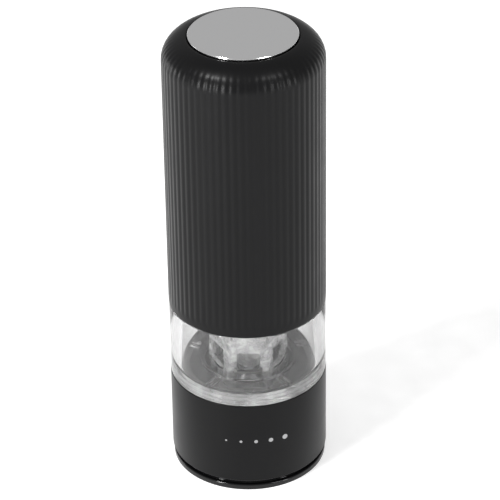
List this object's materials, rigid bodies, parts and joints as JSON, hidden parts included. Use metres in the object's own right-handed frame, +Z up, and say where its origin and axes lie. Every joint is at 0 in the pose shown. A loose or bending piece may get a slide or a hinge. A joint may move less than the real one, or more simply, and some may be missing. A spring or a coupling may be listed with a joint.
{
  "type": "pepper mill",
  "caption": "Battery pepper mill: fluted black handle with a round metal button on top, clear jar band, smooth base with ceramic burrs and a dust cap.",
  "frame": {"origin": "centre of the underside of the dust cap that the mill stands on", "axes": "+Z up along the mill's axis, -Y towards the front of the base, +X to the right"},
  "size_m": [0.054, 0.054, 0.1641],
  "materials": {
    "sleeve_black": "satin soft-touch black",
    "base_black": "satin black",
    "foot_black": "gloss black",
    "clear_jar": "clear acrylic",
    "clear_guard": "clear acrylic, moulded",
    "seal_rubber": "matt black",
    "white_nylon": "natural",
    "housing_black": "moulded black",
    "ceramic": "fired ceramic, fine matt",
    "zinc_steel": "zinc plated",
    "polished_steel": "polished stainless",
    "inner_grey": "moulded dark grey",
    "lamp_clear": "clear epoxy lens",
    "board_green": "lacquered board",
    "motor_steel": "drawn steel can",
    "brass": "cut brass",
    "spring_nickel": "nickel plated",
    "silicone": "translucent grey",
    "cell_wrap": "printed film without words",
    "button_steel": "fine satin with a bright bevel"
  },
  "bodies": {
    "base": {"base_shell": "base_black", "jar": "clear_jar", "jar_seal": "seal_rubber", "shaft_guard": "clear_guard", "shaft_tube": "clear_guard", "lower_bush": "white_nylon", "upper_bush": "white_nylon", "grinder_housing": "housing_black", "stator_burr": "ceramic", "outlet_bridge": "housing_black", "bridge_screws": "zinc_steel"},
    "cap": {"dust_cap": "foot_black"},
    "thrust": {"thrust_washer": "polished_steel"},
    "knob": {"adjust_knob": "housing_black"},
    "spindle": {"drive_shaft": "polished_steel", "shaft_clip": "polished_steel", "spring_cup": "polished_steel", "rotor_spring": "polished_steel"},
    "rotor": {"rotor_burr": "ceramic"},
    "button": {"button_cap": "button_steel", "button_plunger": "inner_grey"},
    "motor_rotor": {"motor_shaft": "polished_steel", "motor_pinion": "brass"},
    "first_stage": {"first_carrier": "white_nylon"},
    "output": {"output_carrier": "white_nylon"},
    "planet_b_1": {"planet_b_1": "white_nylon"},
    "planet_b_2": {"planet_b_2": "white_nylon"},
    "planet_b_3": {"planet_b_3": "white_nylon"},
    "planet_a_1": {"planet_a_1": "white_nylon"},
    "planet_a_2": {"planet_a_2": "white_nylon"},
    "planet_a_3": {"planet_a_3": "white_nylon"},
    "handle": {"sleeve": "sleeve_black", "bottom_plate": "inner_grey", "plate_screws": "zinc_steel", "work_light": "lamp_clear", "light_board": "board_green", "gearbox_case": "inner_grey", "gearbox_screws": "zinc_steel", "motor_plate": "zinc_steel", "motor_screws": "zinc_steel", "motor_can": "motor_steel", "motor_endcap": "inner_grey", "battery_holder": "inner_grey", "holder_cover": "inner_grey", "lower_contacts": "spring_nickel", "upper_contacts": "spring_nickel", "lower_springs": "spring_nickel", "upper_springs": "spring_nickel", "button_guide": "inner_grey", "switch_board": "board_green", "switch_dome": "silicone", "button_spring": "spring_nickel", "cell_1": "cell_wrap", "cell_2": "cell_wrap", "cell_3": "cell_wrap", "cell_4": "cell_wrap", "cell_5": "cell_wrap", "cell_6": "cell_wrap"}
  },
  "joints": [
    {"name": "cap_pull", "type": "slide", "parent": "base", "child": "cap", "axis": [0, 0, -1], "range_m": [0, 0.018]},
    {"name": "handle_lift", "type": "slide", "parent": "base", "child": "handle", "axis": [0, 0, 1], "range_m": [0, 0.04]},
    {"name": "button_press", "type": "slide", "parent": "handle", "child": "button", "axis": [0, 0, -1], "range_m": [0, 0.0015], "stiffness_N_per_m": 1200, "springref_m": -0.0012, "deforming": ["button_spring", "switch_dome"]},
    {"name": "knob_travel", "type": "slide", "parent": "base", "child": "thrust", "axis": [0, 0, -1], "range_m": [0, 0.0008]},
    {"name": "knob_turn", "type": "hinge", "parent": "thrust", "child": "knob", "pos_m": [0, 0, 0.0066], "axis": [0, 0, -1], "range_deg": [0, 360]},
    {"name": "shaft_spin", "type": "hinge", "parent": "base", "child": "spindle", "pos_m": [0, 0, 0.04], "axis": [0, 0, 1], "continuous": true},
    {"name": "burr_gap", "type": "slide", "parent": "spindle", "child": "rotor", "axis": [0, 0, -1], "range_m": [0, 0.0008], "deforming": ["rotor_spring"]},
    {"name": "output_spin", "type": "hinge", "parent": "handle", "child": "output", "pos_m": [0, 0, 0.0764], "axis": [0, 0, 1], "continuous": true},
    {"name": "first_stage_spin", "type": "hinge", "parent": "handle", "child": "first_stage", "pos_m": [0, 0, 0.0826], "axis": [0, 0, 1], "continuous": true},
    {"name": "motor_spin", "type": "hinge", "parent": "handle", "child": "motor_rotor", "pos_m": [0, 0, 0.0858], "axis": [0, 0, 1], "continuous": true},
    {"name": "planet_b_1_spin", "type": "hinge", "parent": "output", "child": "planet_b_1", "pos_m": [0.0075, 0, 0.0795], "axis": [0, 0, 1], "continuous": true},
    {"name": "planet_b_2_spin", "type": "hinge", "parent": "output", "child": "planet_b_2", "pos_m": [-0.00375, 0.0065, 0.0795], "axis": [0, 0, 1], "continuous": true},
    {"name": "planet_b_3_spin", "type": "hinge", "parent": "output", "child": "planet_b_3", "pos_m": [-0.00375, -0.0065, 0.0795], "axis": [0, 0, 1], "continuous": true},
    {"name": "planet_a_1_spin", "type": "hinge", "parent": "first_stage", "child": "planet_a_1", "pos_m": [0.0075, 0, 0.0857], "axis": [0, 0, 1], "continuous": true},
    {"name": "planet_a_2_spin", "type": "hinge", "parent": "first_stage", "child": "planet_a_2", "pos_m": [-0.00375, 0.0065, 0.0857], "axis": [0, 0, 1], "continuous": true},
    {"name": "planet_a_3_spin", "type": "hinge", "parent": "first_stage", "child": "planet_a_3", "pos_m": [-0.00375, -0.0065, 0.0857], "axis": [0, 0, 1], "continuous": true}
  ],
  "couplings": [
    {"joint": "knob_turn", "follows": "knob_travel", "rad_per_m": 7854},
    {"joint": "burr_gap", "follows": "knob_travel", "ratio": 1},
    {"joint": "output_spin", "follows": "shaft_spin", "ratio": 1},
    {"joint": "first_stage_spin", "follows": "shaft_spin", "ratio": 5},
    {"joint": "motor_spin", "follows": "shaft_spin", "ratio": 25},
    {"joint": "planet_b_1_spin", "follows": "shaft_spin", "ratio": -2.6667},
    {"joint": "planet_b_2_spin", "follows": "shaft_spin", "ratio": -2.6667},
    {"joint": "planet_b_3_spin", "follows": "shaft_spin", "ratio": -2.6667},
    {"joint": "planet_a_1_spin", "follows": "shaft_spin", "ratio": -13.333},
    {"joint": "planet_a_2_spin", "follows": "shaft_spin", "ratio": -13.333},
    {"joint": "planet_a_3_spin", "follows": "shaft_spin", "ratio": -13.333}
  ]
}
